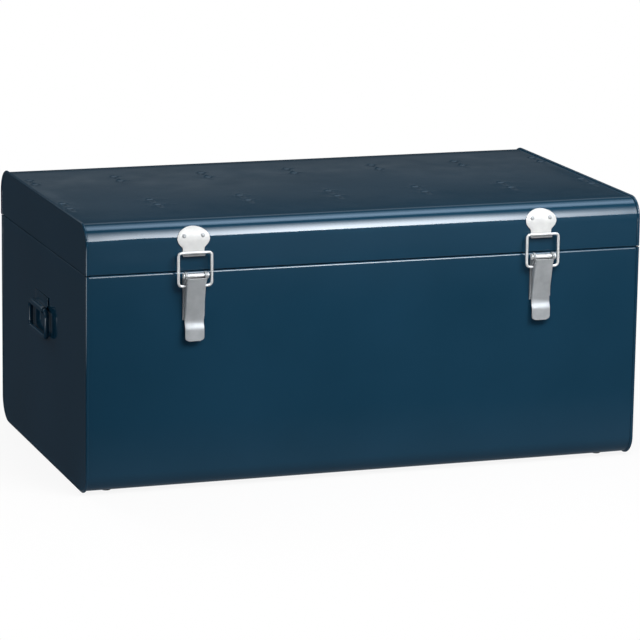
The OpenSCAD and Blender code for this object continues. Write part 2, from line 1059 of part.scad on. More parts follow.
body_wrapper();
body_end_left();
body_end_right();
body_rim();
foot_glides();
lid_wrapper();
lid_end_left();
lid_end_right();
lid_stiffener_front();
lid_stiffener_rear();
hinge_leaf_lower();
hinge_leaf_upper();
hinge_pin();
hinge_rivets_lower();
hinge_rivets_upper();
keeper_left();
keeper_right();
keeper_rivets();
latch_base_left();
latch_base_right();
latch_rivets();
latch_pin_left();
latch_pin_right();
latch_lever_left();
latch_lever_right();
latch_wire_left();
latch_wire_right();
handle_clip_left();
handle_clip_right();
handle_left();
handle_right();
stay_body_studs();
stay_lid_studs();
stay_lower_left();
stay_lower_right();
stay_upper_left();
stay_upper_right();
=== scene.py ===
"""Looks of the steel storage trunk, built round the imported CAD.

The shown sheet, latches and handles are modelled here in full, in millimetres. They take their places
from the CAD nodes they stand for. Finishes are procedural. The studio and the camera come last."""

import json
import math

import bmesh
import bpy
from mathutils import Matrix, Vector


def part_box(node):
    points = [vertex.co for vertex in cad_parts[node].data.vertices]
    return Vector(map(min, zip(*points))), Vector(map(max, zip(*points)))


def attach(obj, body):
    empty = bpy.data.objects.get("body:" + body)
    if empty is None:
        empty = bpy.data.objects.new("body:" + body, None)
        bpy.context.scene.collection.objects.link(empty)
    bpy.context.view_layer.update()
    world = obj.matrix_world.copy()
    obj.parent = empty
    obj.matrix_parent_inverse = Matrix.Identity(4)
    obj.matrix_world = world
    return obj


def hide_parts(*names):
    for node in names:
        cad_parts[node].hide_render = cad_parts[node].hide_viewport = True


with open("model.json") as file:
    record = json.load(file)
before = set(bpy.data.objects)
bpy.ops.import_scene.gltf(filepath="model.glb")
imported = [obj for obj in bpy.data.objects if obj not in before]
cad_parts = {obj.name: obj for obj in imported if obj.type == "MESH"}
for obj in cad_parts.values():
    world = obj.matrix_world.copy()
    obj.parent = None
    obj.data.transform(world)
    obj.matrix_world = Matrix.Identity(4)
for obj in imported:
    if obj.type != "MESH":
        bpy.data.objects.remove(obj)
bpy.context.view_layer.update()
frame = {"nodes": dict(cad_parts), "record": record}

MM = 0.001
MERGE = 1e-6  # points nearer to each other than this become one
SHARP = math.radians(38)
LEFT, RIGHT = -1, 1
SIDES = {"left": LEFT, "right": RIGHT}


def box_mm(node):
    """Lowest and highest corner of a CAD node, in millimetres."""
    low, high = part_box(node)
    return low / MM, high / MM


# ---- Sizes taken from the CAD ----

body_low, body_high = box_mm("body_wrapper")
lid_low, lid_high = box_mm("lid_wrapper")
seam_high = box_mm("lid_end_right")[1]
HALF_W = seam_high.x
FRONT_Y = body_low.y
BODY_BACK_Y = body_high.y
LID_BACK_Y = lid_high.y
UNDERSIDE_Z = body_low.z
SEAM_Z = body_high.z
LID_EDGE_Z = lid_low.z
TOP_Z = lid_high.z
SEAM_H = seam_high.z - TOP_Z

# ---- Sizes of the sheet work, in mm ----

SHEET = 0.9
FRONT_R = 26
BACK_R = 32
SLIP = 0.05  # clearance between parts that slide together
PROUD = 0.03  # how far a face stands off the one it lies on

SEAM_W = 4
SEAM_ROUND = 1.95  # corners of the bead that stands proud of the sheet
SEAM_LIP = 1.9  # depth of the underside of the lip that lies inside the sheet
SEAM_FLANGE = 1  # how far that lip reaches past the seam
SEAM_WEB = 1.7  # thickness of the strip that covers the end plate's edge
SEAM_DEPTH = 5.4  # how far that strip reaches over the plate
SEAM_EDGE = 0.7  # radius of its outer edge
SEAM_END_GAP = 0.4  # the body's seam stops this far under its top edge

HEM_R = 3.4  # rolled top edge of the body's front and back
END_HEM_R = 1
RIM_INSET = 4  # the folded strip of a hem ends this far in from the face
END_INSET = 4.2
END_RECESS = 0.45
END_BOW = 0.35  # how far the middle of an end plate is sunk

BARREL_ROOM = 5.3  # the lid's back wall ends this much higher, to clear the hinge barrel


# ---- Mesh helpers ----


def grid_faces(rows, columns, start=0):
    """Quads over a grid of points stored row by row."""
    faces = []
    for i in range(rows - 1):
        for j in range(columns - 1):
            a = start + i * columns + j
            faces.append((a, a + 1, a + columns + 1, a + columns))
    return faces


def slab(outer, inner):
    """Closed skin between two grids of points of the same size, as (points, faces)."""
    rows, columns = len(outer), len(outer[0])
    offset = rows * columns
    points = [p for row in outer for p in row] + [p for row in inner for p in row]
    faces = grid_faces(rows, columns) + grid_faces(rows, columns, offset)
    edge = list(range(columns))
    edge += [i * columns + columns - 1 for i in range(1, rows)]
    edge += [(rows - 1) * columns + j for j in range(columns - 2, -1, -1)]
    edge += [i * columns for i in range(rows - 2, 0, -1)]
    for a, b in zip(edge, edge[1:] + edge[:1]):
        faces.append((a, b, b + offset, a + offset))
    return points, faces


def loft(loops, closed=False):
    """Skin through closed loops of points, capped at both ends unless it closes on itself."""
    size = len(loops[0])
    points = [p for loop in loops for p in loop]
    faces = []
    spans = len(loops) if closed else len(loops) - 1
    for i in range(spans):
        a, b = i * size, (i + 1) % len(loops) * size
        for j in range(size):
            k = (j + 1) % size
            faces.append((a + j, a + k, b + k, b + j))
    if not closed:
        faces.append(tuple(range(size)))
        faces.append(tuple(range(len(points) - size, len(points))))
    return points, faces


def full_turn(sides):
    """Angles of the corners of a regular polygon, in radians."""
    return [2 * math.pi * k / sides for k in range(sides)]


def tube(path, radius, across, closed=False, sides=20):
    """Round bar along a flat path; across is the unit vector square to the path's plane."""
    loops = []
    count = len(path)
    for i, point in enumerate(path):
        before = path[i - 1] if closed or i > 0 else point
        after = path[(i + 1) % count] if closed or i < count - 1 else point
        out = across.cross((after - before).normalized())
        loops.append([point + (out * math.cos(a) + across * math.sin(a)) * radius for a in full_turn(sides)])
    return loft(loops, closed)


def lathe(profile, place, sides):
    """Surface turned about the local Z axis from (radius, height) points, put in place by a matrix."""
    loops = []
    for radius, height in profile:
        ring = [(radius * math.cos(a), radius * math.sin(a), height) for a in full_turn(sides)]
        loops.append([place @ Vector(p) for p in ring])
    return loft(loops)


def arc(cx, cy, radius, start, end, steps):
    """Points along an arc, angles in degrees."""
    angles = [math.radians(start + (end - start) * i / steps) for i in range(steps + 1)]
    return [(cx + radius * math.cos(a), cy + radius * math.sin(a)) for a in angles]


def rounded(corners, cuts, steps=8):
    """A polyline with each inner corner replaced by a curve that starts and ends a cut's length from it."""
    path = [Vector(corners[0])]
    for i in range(1, len(corners) - 1):
        corner = Vector(corners[i])
        start = corner + (Vector(corners[i - 1]) - corner).normalized() * cuts[i - 1]
        end = corner + (Vector(corners[i + 1]) - corner).normalized() * cuts[i - 1]
        for k in range(steps + 1):
            t = k / steps
            path.append(start * (1 - t) ** 2 + corner * 2 * t * (1 - t) + end * t * t)
    path.append(Vector(corners[-1]))
    return path


def refined(path, longest):
    """The same path with extra points, so that no step is longer than stated."""
    points = [path[0]]
    for a, b in zip(path, path[1:]):
        steps = max(1, math.ceil((b - a).length / longest))
        points += [a.lerp(b, k / steps) for k in range(1, steps + 1)]
    return points


def path_normals(path):
    """Unit normals to the right of a 2D path's direction."""
    normals = []
    for i in range(len(path)):
        step = path[min(i + 1, len(path) - 1)] - path[max(i - 1, 0)]
        normals.append(Vector((step.y, -step.x)).normalized())
    return normals


def between(table, value):
    """Straight-line interpolation in a short list of (value, result) pairs with rising values."""
    for (a, ra), (b, rb) in zip(table, table[1:]):
        if value <= b:
            share = max(0.0, (value - a) / (b - a))
            return ra + (rb - ra) * share
    return table[-1][1]


def fade(distance, width):
    """Rises smoothly from 0 at an edge to 1 at width from it."""
    t = max(0.0, min(1.0, distance / width))
    return t * t * (3 - 2 * t)


def piece(name, parts, body, finish, stands_for, look=None):
    """One object made of (points, faces) parts in mm, riding a body in place of its CAD nodes.

    It is drawn with the finish that look names, or with finish where look is not given."""
    points, faces = [], []
    for part_points, part_faces in parts:
        start = len(points)
        points += part_points
        faces += [[start + i for i in face] for face in part_faces]
    mesh = bpy.data.meshes.new(name)
    mesh.from_pydata([Vector(p) * MM for p in points], [], faces)
    shape = bmesh.new()
    shape.from_mesh(mesh)
    bmesh.ops.remove_doubles(shape, verts=shape.verts, dist=MERGE)
    bmesh.ops.recalc_face_normals(shape, faces=shape.faces)
    shape.to_mesh(mesh)
    shape.free()
    for polygon in mesh.polygons:
        polygon.use_smooth = True
    mesh.set_sharp_from_angle(angle=SHARP)
    mesh.materials.append(finishes[look or finish])
    made = bpy.data.objects.new(name, mesh)
    bpy.context.scene.collection.objects.link(made)
    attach(made, body)
    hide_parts(*stands_for)


# ---- Node helpers ----


def add_node(tree, kind, values=None):
    """A new node in a tree, with the inputs named in values set."""
    made = tree.nodes.new(kind)
    for name, value in (values or {}).items():
        made.inputs[name].default_value = value
    return made


def maths(tree, operation, a, b):
    """Result of a maths operation on two values, each a number or a socket."""
    node = add_node(tree, "ShaderNodeMath")
    node.operation = operation
    for socket, value in zip(node.inputs, (a, b)):
        if isinstance(value, (int, float)):
            socket.default_value = value
        else:
            tree.links.new(value, socket)
    return node.outputs["Value"]


def mix_shaders(tree, share, a, b):
    """Shader node that goes from node a to node b as share goes from 0 to 1."""
    mix = add_node(tree, "ShaderNodeMixShader")
    tree.links.new(share, mix.inputs["Fac"])
    tree.links.new(a.outputs[0], mix.inputs[1])
    tree.links.new(b.outputs[0], mix.inputs[2])
    return mix


# ---- Finishes ----


class Finish:
    """A procedural material, with short calls for the nodes that the finishes share."""

    def __init__(self, name):
        self.material = bpy.data.materials.new(name)
        self.material.use_nodes = True
        self.tree = self.material.node_tree
        self.surface = self.tree.nodes["Principled BSDF"]
        self.place = add_node(self.tree, "ShaderNodeTexCoord").outputs["Object"]

    def link(self, source, target):
        self.tree.links.new(source, target)

    def noise(self, per_metre, detail=3, stretch=(1, 1, 1)):
        """Noise of a stated scale, from 0 to 1; stretch over 1 makes it finer along that axis."""
        mapping = add_node(self.tree, "ShaderNodeMapping", {"Scale": stretch})
        texture = add_node(self.tree, "ShaderNodeTexNoise", {"Scale": per_metre, "Detail": detail})
        self.link(self.place, mapping.inputs["Vector"])
        self.link(mapping.outputs["Vector"], texture.inputs["Vector"])
        return texture.outputs["Fac"]

    def spread(self, value, low, high, start=0.0, end=1.0):
        """Maps a value from start..end to low..high."""
        limits = {"From Min": start, "From Max": end, "To Min": low, "To Max": high}
        node = add_node(self.tree, "ShaderNodeMapRange", limits)
        self.link(value, node.inputs["Value"])
        return node.outputs["Result"]

    def maths(self, operation, a, b):
        return maths(self.tree, operation, a, b)

    def blend(self, share, a, b):
        """Colour between a and b by share; each is a colour or a socket."""
        node = add_node(self.tree, "ShaderNodeMix")
        node.data_type = "RGBA"
        self.link(share, node.inputs["Factor"])
        for socket, colour in ((node.inputs[6], a), (node.inputs[7], b)):
            if isinstance(colour, tuple):
                socket.default_value = (*colour, 1)
            else:
                self.link(colour, socket)
        return node.outputs[2]

    def edges(self, width_mm):
        """1 on the outer edges of the shape and 0 on its flats."""
        bevel = add_node(self.tree, "ShaderNodeBevel", {"Radius": width_mm * MM})
        geometry = add_node(self.tree, "ShaderNodeNewGeometry")
        dot = add_node(self.tree, "ShaderNodeVectorMath")
        dot.operation = "DOT_PRODUCT"
        self.link(bevel.outputs["Normal"], dot.inputs[0])
        self.link(geometry.outputs["Normal"], dot.inputs[1])
        return self.spread(dot.outputs["Value"], 1, 0, 0.8, 0.98)

    def openness(self, reach_mm):
        """1 in the open and falling towards 0 in gaps and corners narrower than reach."""
        hollow = add_node(self.tree, "ShaderNodeAmbientOcclusion", {"Distance": reach_mm * MM})
        hollow.samples = 8
        return hollow.outputs["AO"]

    def bump(self, height, strength, depth_mm):
        node = add_node(self.tree, "ShaderNodeBump", {"Strength": strength, "Distance": depth_mm * MM})
        self.link(height, node.inputs["Height"])
        self.link(node.outputs["Normal"], self.surface.inputs["Normal"])

    def colour(self, socket):
        self.link(socket, self.surface.inputs["Base Color"])

    def roughness(self, socket):
        self.link(socket, self.surface.inputs["Roughness"])

    def set(self, name, value):
        self.surface.inputs[name].default_value = value


def enamel():
    """Glossy navy enamel: slow waviness, uneven depth of colour, rubbed edges, and painted shade in the seams
    and gaps that darkens its colour and reflection.
    """
    paint = Finish("navy_enamel")
    depth = paint.spread(paint.noise(7, 4), 0, 1, 0.3, 0.7)
    shade = paint.blend(depth, (0.0064, 0.0375, 0.0700), (0.0082, 0.0430, 0.0805))
    patches = paint.spread(paint.noise(120, 5), 0.1, 0.5, 0.4, 0.7)
    rubbed = paint.maths("MULTIPLY", paint.edges(0.7), patches)
    worn = paint.blend(rubbed, shade, (0.05, 0.10, 0.15))
    # 1 in the open, falling to 0 in seams and gaps narrower than 3.5 mm: the mask of the painted shade below.
    unshaded = paint.spread(paint.openness(3.5), 0, 1, 0.12, 0.6)
    # Painted shade: in seams and gaps the colour goes to near black.
    paint.colour(paint.blend(unshaded, (0.0015, 0.006, 0.011), worn))
    haze = paint.spread(paint.noise(22, 5), 0.06, 0.11, 0.3, 0.7)
    # Roughness rises in the painted shade of seams and gaps.
    haze_and_shade_dulling = paint.maths("ADD", haze, paint.spread(unshaded, 0.3, 0))
    paint.roughness(paint.maths("ADD", haze_and_shade_dulling, paint.maths("MULTIPLY", rubbed, 0.25)))
    # Painted shade on reflections: the specular level falls in seams and gaps.
    paint.link(paint.spread(unshaded, 0.05, 0.5), paint.surface.inputs["Specular IOR Level"])
    paint.bump(paint.noise(70, 2), 0.3, 0.03)
    return paint.material


def zinc():
    """Satin zinc plate, brushed lengthwise, with cloudy patches, painted highlights on its outer edges and
    painted shade in its gaps and corners.
    """
    plate = Finish("satin_zinc")
    brushing = plate.noise(220, 3, (6, 1, 0.25))
    cloud = plate.spread(plate.noise(60, 4), 0, 1, 0.3, 0.7)
    shade = plate.blend(cloud, (0.33, 0.345, 0.355), (0.43, 0.445, 0.455))
    # Painted highlight: the colour brightens towards near white along outer edges.
    tone_and_painted_highlight = plate.blend(plate.maths("MULTIPLY", plate.edges(0.9), 0.8), shade, (0.85, 0.86, 0.87))
    # Mask of painted shade: 1 in the open, falling to 0 in gaps and corners narrower than 4 mm.
    unshaded = plate.spread(plate.openness(4), 0, 1, 0.2, 0.8)
    # Painted shade: the colour goes dark grey in gaps and corners.
    plate.colour(plate.blend(unshaded, (0.10, 0.10, 0.105), tone_and_painted_highlight))
    plate.roughness(plate.spread(brushing, 0.42, 0.55, 0.3, 0.7))
    plate.bump(brushing, 0.1, 0.05)
    plate.set("Metallic", 0.22)
    return plate.material


def nickel(name, metal, shine, tone):
    """Bright nickel plate with fine scratches, a soft polish and painted shade in its hollows; tone under 1
    darkens the whole colour as painted shade.
    """
    plate = Finish(name)
    scratches = plate.noise(240, 2, (1, 1, 5))
    cloud = plate.spread(plate.noise(90, 3), 0, 1, 0.3, 0.7)
    # tone scales the plate's colour; under 1 it is painted shade over the whole part.
    shades = [tuple(level * tone for level in shade) for shade in ((0.69, 0.695, 0.69), (0.80, 0.805, 0.795))]
    # Mask of painted shade: 1 in the open, falling to 0 in hollows narrower than 3 mm.
    unshaded = plate.spread(plate.openness(3), 0, 1, 0.25, 0.85)
    # Painted shade: the colour goes dark grey in hollows, such as round the rivets.
    plate.colour(plate.blend(unshaded, (0.16, 0.165, 0.17), plate.blend(cloud, *shades)))
    plate.roughness(plate.spread(scratches, 0.26, 0.36, 0.3, 0.7))
    plate.bump(scratches, 0.05, 0.02)
    plate.set("Metallic", metal)
    plate.set("Specular IOR Level", shine)
    return plate.material


def rubber():
    """Matt black rubber with a fine moulded grain."""
    pad = Finish("black_rubber")
    grain = pad.noise(1500, 3)
    dust = pad.spread(pad.noise(80, 4), 0, 0.6, 0.45, 0.8)
    pad.colour(pad.blend(dust, (0.006, 0.006, 0.0065), (0.03, 0.029, 0.028)))
    pad.roughness(pad.spread(grain, 0.65, 0.85))
    pad.bump(grain, 0.3, 0.15)
    return pad.material


finishes = {
    "navy_enamel": enamel(),
    "satin_zinc": zinc(),
    "bright_nickel": nickel("bright_nickel", metal=0.25, shine=0.5, tone=1),
    # A darker copy of the plated nickel for the keepers: tone 0.92 paints shade into its colour where the
    # studio lights them strongly; it also reflects less.
    "shaded_nickel": nickel("shaded_nickel", metal=0.02, shine=0.05, tone=0.92),
    "black_rubber": rubber(),
}


# ---- Sheet ----

# Spacing of the sheets' grids, and the widths over which unevenness dies away towards an edge.
BODY_STEP, BODY_FLAT_STEP = 13, 24
LID_STEP, LID_FLAT_STEP = 12, 20
CALM_SEAM, CALM_OPEN, CALM_LID_EDGE = 25, 30, 20

WELD_X = [-375, -254, -127, 0, 127, 254, 375]
WELD_FROM_FRONT = [132, 170, 316, 350]
WELD_DEPTH = 0.9
WELD_R = 5
WELD_RING = 0.16  # height of the ring as a share of the dimple's depth
WELD_ROW_REACH = 9
AROUND_WELD = [-7, -5, -3.6, -2.4, -1.2, 0, 1.2, 2.4, 3.6, 5, 7]

LID_SAG = 0.25
SAG_SPAN = 400
SOFT_SPOT_X = -318
SOFT_SPOT_DROP = 30  # below the top
SOFT_SPOT_SPREAD = (34, 11)
SOFT_SPOT_DEPTH = 0.55


def u_path(back, front_wall, back_wall, flat, wall_steps=14, bend_steps=16):
    """Outer face of a U of sheet as (y, height, normal y, normal height), front wall first.

    Height is measured from the flat towards the open side; flat lists the y values between the bends."""
    bend = [math.pi / 2 * i / bend_steps for i in range(bend_steps + 1)]
    rows = []
    for i in range(wall_steps):
        rows.append((FRONT_Y, front_wall + (FRONT_R - front_wall) * i / wall_steps, -1, 0))
    for a in bend:
        c, s = math.cos(a), math.sin(a)
        rows.append((FRONT_Y + FRONT_R * (1 - c), FRONT_R * (1 - s), -c, -s))
    rows += [(y, 0, 0, -1) for y in flat]
    for a in reversed(bend):
        c, s = math.cos(a), math.sin(a)
        rows.append((back - BACK_R * (1 - c), BACK_R * (1 - s), c, -s))
    for i in range(1, wall_steps + 1):
        rows.append((back, BACK_R + (back_wall - BACK_R) * i / wall_steps, 1, 0))
    return rows


def hem_rows(y, wall, towards_middle):
    """The rolled edge above a wall, from the wall's end to the edge of the folded strip."""
    rows = []
    for a, b in arc(0, 0, 1, 0, 90, 6)[1:]:
        rows.append((y + towards_middle * HEM_R * (1 - a), wall + HEM_R * b, -towards_middle * a, b))
    rows.append((y + towards_middle * RIM_INSET, wall + HEM_R, 0, 1))
    return rows


def spaced(start, end, step):
    """Evenly spaced values strictly between start and end."""
    count = max(1, round((end - start) / step))
    return [start + (end - start) * i / count for i in range(1, count)]


def full_span(span, step):
    """Evenly spaced values from -span to span, both included."""
    return [-span] + spaced(-span, span, step) + [span]


def with_clusters(start, end, step, centres):
    """Evenly spaced values strictly between start and end, closer together round each centre."""
    clear = AROUND_WELD[-1] + 2
    close = [c + d for c in centres for d in AROUND_WELD]
    loose = [v for v in spaced(start, end, step) if min(abs(v - c) for c in centres) > clear]
    return sorted(close + loose)


def ripple(x, y, z):
    """Slow unevenness of hand-folded sheet, up to 0.2 mm; the divisors set the lengths of its waves."""
    slow = math.sin(x / 61 + 0.7) * math.cos(y / 47 + z / 83)
    wide = math.sin(x / 143 - 1.1) * math.cos(z / 71 + 0.4)
    return 0.07 * slow + 0.12 * wide


def body_sheet_dent(x, y, z):
    """Ripple of the body's sheet, calmed to nothing at its seams and its open edge."""
    return ripple(x, y, z) * fade(HALF_W - SEAM_W - abs(x), CALM_SEAM) * fade(SEAM_Z - z, CALM_OPEN)


def weld_dent(x, y):
    """Height of the lid's top at a row of spot welds: a shallow dimple with a faint raised ring."""
    height = 0.0
    for from_front in WELD_FROM_FRONT:
        across = y - FRONT_Y - from_front
        if abs(across) > WELD_ROW_REACH:
            continue
        for weld in WELD_X:
            r = math.hypot(x - weld, across) / WELD_R
            # In weld radii: the ring's crest is at 1.25, and nothing is left of it at 2.4.
            if r < 2.4:
                ring = WELD_RING * math.exp(-((r - 1.25) ** 2) / 0.12)
                height += ring - math.exp(-r * r * 1.3)
    return WELD_DEPTH * height


def lid_sheet_dent(x, y, z):
    """Ripple and slight sag of the lid's sheet, one soft spot in its front bend, and the spot welds."""
    calm = fade(HALF_W - SEAM_W - abs(x), CALM_SEAM) * fade(z - LID_EDGE_Z, CALM_LID_EDGE)
    top = fade(z - (TOP_Z - 2), 1.5)
    along = min(1, max(0, (y - FRONT_Y - FRONT_R) / SAG_SPAN))
    sag = -LID_SAG * math.sin(math.pi * along) ** 2 * top
    spot_x = (x - SOFT_SPOT_X) / SOFT_SPOT_SPREAD[0]
    spot_z = (z - (TOP_Z - SOFT_SPOT_DROP)) / SOFT_SPOT_SPREAD[1]
    soft_spot = -SOFT_SPOT_DEPTH * math.exp(-(spot_x**2) - spot_z**2) * (1 - top)
    return (ripple(x, y, z) + sag + soft_spot) * calm + weld_dent(x, y) * top


def sheet(path, base, up, columns, dent):
    """Sheet swept along X under a dent function; up is 1 with the open side up and -1 with it down."""
    outer, inner = [], []
    for y, height, ny, nh in path:
        z, nz = base + up * height, up * nh
        rises = [dent(x, y, z) for x in columns]
        outer.append([(x, y + ny * r, z + nz * r) for x, r in zip(columns, rises)])
        inner.append([(x, y + ny * (r - SHEET), z + nz * (r - SHEET)) for x, r in zip(columns, rises)])
    return slab(outer, inner)


def seam_section():
    """The folded seam as (height above the sheet, distance from the end face), with a slot for the sheet."""
    crest = SEAM_H - SEAM_ROUND
    outboard_bead = arc(crest, SEAM_ROUND, SEAM_ROUND, 0, -90, 6)
    inboard_bead = arc(crest, SEAM_W - SEAM_ROUND, SEAM_ROUND, 90, 0, 6)
    flange_edge = arc(SEAM_EDGE - SEAM_DEPTH, SEAM_EDGE, SEAM_EDGE, 270, 180, 4)
    slot = -SHEET - SLIP
    inboard = SEAM_W + SEAM_FLANGE
    under_slot = [(-SEAM_DEPTH, SEAM_WEB), (-SEAM_LIP, SEAM_WEB), (-SEAM_LIP, inboard), (slot, inboard)]
    return (
        [(PROUD, SEAM_W)]
        + inboard_bead
        + outboard_bead
        + flange_edge
        + under_slot
        + [(slot, SHEET), (PROUD, SHEET)]
    )


def seam_ring(path, base, up, side):
    """The folded seam swept round the U."""
    loops = []
    for y, height, ny, nh in path:
        loop = []
        for rise, inboard in seam_section():
            loop.append((side * (HALF_W - inboard), y + ny * rise, base + up * (height + nh * rise)))
        loops.append(loop)
    return loft(loops)


def end_plate(path, base, up, side, wall, hem, rows=16):
    """Flat end plate inside the seam, with a rolled edge on its open side where hem is true."""
    rim = [(y - ny * END_INSET, h - nh * END_INSET) for y, h, ny, nh in path if nh < 0 or h <= FRONT_R]
    columns = sorted(set((round(y, 4), round(h, 4)) for y, h in rim))
    first, last = columns[0][0], columns[-1][0]
    outer, inner = [], []
    for y, bottom in columns:
        front_row, back_row = [], []
        for i in range(rows + 1):
            height = bottom + (wall - bottom) * i / rows
            # 1 in the middle of the plate and 0 along its edges.
            middle = fade(y - first, 60) * fade(last - y, 60) * fade(height, 50) * fade(wall - height, 30)
            x = HALF_W - END_RECESS - (END_BOW + ripple(y * 1.3, 0, height * 1.2)) * middle
            front_row.append((side * x, y, base + up * height))
            back_row.append((side * (x - SHEET), y, base + up * height))
        if hem:
            shoulder = HALF_W - END_RECESS - END_HEM_R
            share = (END_HEM_R - SHEET) / END_HEM_R
            for a, b in arc(0, 0, END_HEM_R, 0, 90, 5)[1:]:
                front_row.append((side * (shoulder + a), y, base + up * (wall + b)))
                back_row.append((side * (shoulder + a * share), y, base + up * (wall + b * share)))
            edge = side * (HALF_W - RIM_INSET)
            front_row.append((edge, y, base + up * (wall + END_HEM_R)))
            back_row.append((edge, y, base + up * (wall + END_HEM_R - SHEET)))
        outer.append(front_row)
        inner.append(back_row)
    return slab(outer, inner)


def make_body():
    body_h = SEAM_Z - UNDERSIDE_Z
    wall = body_h - HEM_R
    flat = spaced(FRONT_Y + FRONT_R, BODY_BACK_Y - BACK_R, BODY_FLAT_STEP)
    path = u_path(BODY_BACK_Y, wall, wall, flat)
    columns = full_span(HALF_W - SHEET - SLIP, BODY_STEP)
    hem_columns = full_span(HALF_W - SEAM_W - SEAM_FLANGE - SLIP, BODY_STEP)
    front_hem = hem_rows(FRONT_Y, wall, 1)[::-1] + path[:1]
    back_hem = path[-1:] + hem_rows(BODY_BACK_Y, wall, -1)
    parts = [sheet(path, UNDERSIDE_Z, 1, columns, body_sheet_dent)]
    for hem in (front_hem, back_hem):
        parts.append(sheet(hem, UNDERSIDE_Z, 1, hem_columns, lambda *_: 0))
    piece("body_shell", parts, "body", "navy_enamel", ["body_wrapper"])
    seam_wall = body_h - SEAM_END_GAP
    seam_path = u_path(BODY_BACK_Y, seam_wall, seam_wall, flat)
    for name, side in SIDES.items():
        seam = seam_ring(seam_path, UNDERSIDE_Z, 1, side)
        plate_part = end_plate(path, UNDERSIDE_Z, 1, side, body_h - END_HEM_R, True)
        piece(f"body_end_{name}_shell", [seam, plate_part], "body", "navy_enamel", [f"body_end_{name}"])


def make_lid():
    wall = TOP_Z - LID_EDGE_Z
    flat_start, flat_end = FRONT_Y + FRONT_R, LID_BACK_Y - BACK_R
    weld_rows = [FRONT_Y + w for w in WELD_FROM_FRONT]
    flat = with_clusters(flat_start, flat_end, LID_FLAT_STEP, weld_rows)
    path = u_path(LID_BACK_Y, wall, wall - BARREL_ROOM, flat, wall_steps=8)
    span = HALF_W - SHEET - SLIP
    inner_columns = [x for x in with_clusters(-span, span, LID_STEP, WELD_X) if abs(x) < span]
    wrapper = sheet(path, TOP_Z, -1, [-span] + inner_columns + [span], lid_sheet_dent)
    piece("lid_shell", [wrapper], "lid", "navy_enamel", ["lid_wrapper"])
    ring = u_path(LID_BACK_Y, wall, wall, spaced(flat_start, flat_end, BODY_FLAT_STEP), wall_steps=8)
    for name, side in SIDES.items():
        parts = [seam_ring(ring, TOP_Z, -1, side), end_plate(ring, TOP_Z, -1, side, wall, False)]
        piece(f"lid_end_{name}_shell", parts, "lid", "navy_enamel", [f"lid_end_{name}"])


# ---- Latches ----

KEEPER_T = 1.2
KEEPER_EDGE = 0.4
KEEPER_NECK = 14.75
KEEPER_HEAD = (22, 14.5)
NECK_BLEND = 7  # higher gives a sharper corner where the neck meets the oval head
HOOK_END = 390  # the foot curls from 180 degrees, against the lid, to here

RIVET_SPREAD = 12.75
RIVET_ANGLE = math.radians(17)
RIVET_HEAD = [(0.05, 1.42), (0.8, 1.36), (1.6, 1.12), (2.3, 0.66), (2.75, 0.12), (2.85, -0.15)]

PIN_R = 3
PIN_NECK_R = 3.5
PIN_FLARE = 4.3
WIRE_R = 1.8
WIRE_LEAN = 0.7

# LEVER_TOP, LEVER_BEND and TAB_TOP are distances down from the pin's axis, and BEND_OUT and TAB_OUT
# distances out from the front face.
LEVER_T = 1.2
LEVER_CORNER = 1.9
LEVER_TOP = 3.1
LEVER_BEND = 63.2
BEND_OUT = 4.9
TAB_TOP = 71.2
TAB_OUT = 8.8
TAB_CORNER = 5
TAB_EDGE = 0.55
FLANGE_DEPTHS = [(6, 1.2), (17, 5.2), (36, 8.7), (LEVER_BEND - LEVER_TOP, 12)]  # by height above the bend
LOBE_R = 5.5
LOBE_DROP = 9

BASE_T = 1.2
EAR_T = 1.5
EAR_FOOT = 14


def out_front(x, out, z):
    """A point from its distance outward from the front face."""
    return (x, FRONT_Y - out, z)


def strip_section(half_width, thickness, edge, steps=6):
    """Section of a flat strip as (across, depth), depth 0 on the outer face, with rounded edges."""
    edge = min(edge, half_width * 0.9)
    flat = half_width - edge
    across = [flat * (2 * k / steps - 1) for k in range(steps + 1)]
    top = [(x, 0) for x in across]
    right = arc(flat, -edge, edge, 90, 0, 3)[1:] + arc(flat, edge - thickness, edge, 0, -90, 3)[:-1]
    bottom = [(x, -thickness) for x in reversed(across)]
    left = [(-x, d) for x, d in reversed(right)]
    return top + right + bottom + left


def bent_strip(path, widths, thickness, edge, place):
    """Strip of varying width whose outer face follows a 2D path; place maps (across, u, v) to the scene."""
    loops = []
    for point, normal, half_width in zip(path, path_normals(path), widths):
        loop = []
        for across, depth in strip_section(half_width, thickness, edge):
            spot = point + normal * depth
            loop.append(place(across, spot.x, spot.y))
        loops.append(loop)
    return loft(loops)


def plate(outline, start, end, edge, place):
    """Flat plate from a 2D outline between two depths, with its edges eased; place maps (depth, u, v)."""
    corners = [Vector(p) for p in outline]
    centre = sum(corners, Vector((0, 0))) / len(corners)
    inset = [p + (centre - p).normalized() * edge for p in corners]
    step = math.copysign(edge, end - start)
    rings = [(start, inset), (start + step, corners), (end - step, corners), (end, inset)]
    return loft([[place(depth, p.x, p.y) for p in ring] for depth, ring in rings])


def cheek(outline, start, end, edge, centre, side):
    """Flat plate square to the front face, between two distances to one side of a centre line."""
    return plate(outline, start, end, edge, lambda depth, out, z: out_front(centre + side * depth, out, z))


def keeper_half_width(z, head_z):
    """Half width of the keeper at a height: a straight neck that flows into the oval head."""
    wide, tall = KEEPER_HEAD
    share = (z - head_z) / tall
    oval = wide * math.sqrt(max(0.0, 1 - share * share))
    if z > head_z:
        return max(0.5, oval)
    return (oval**NECK_BLEND + KEEPER_NECK**NECK_BLEND) ** (1 / NECK_BLEND)


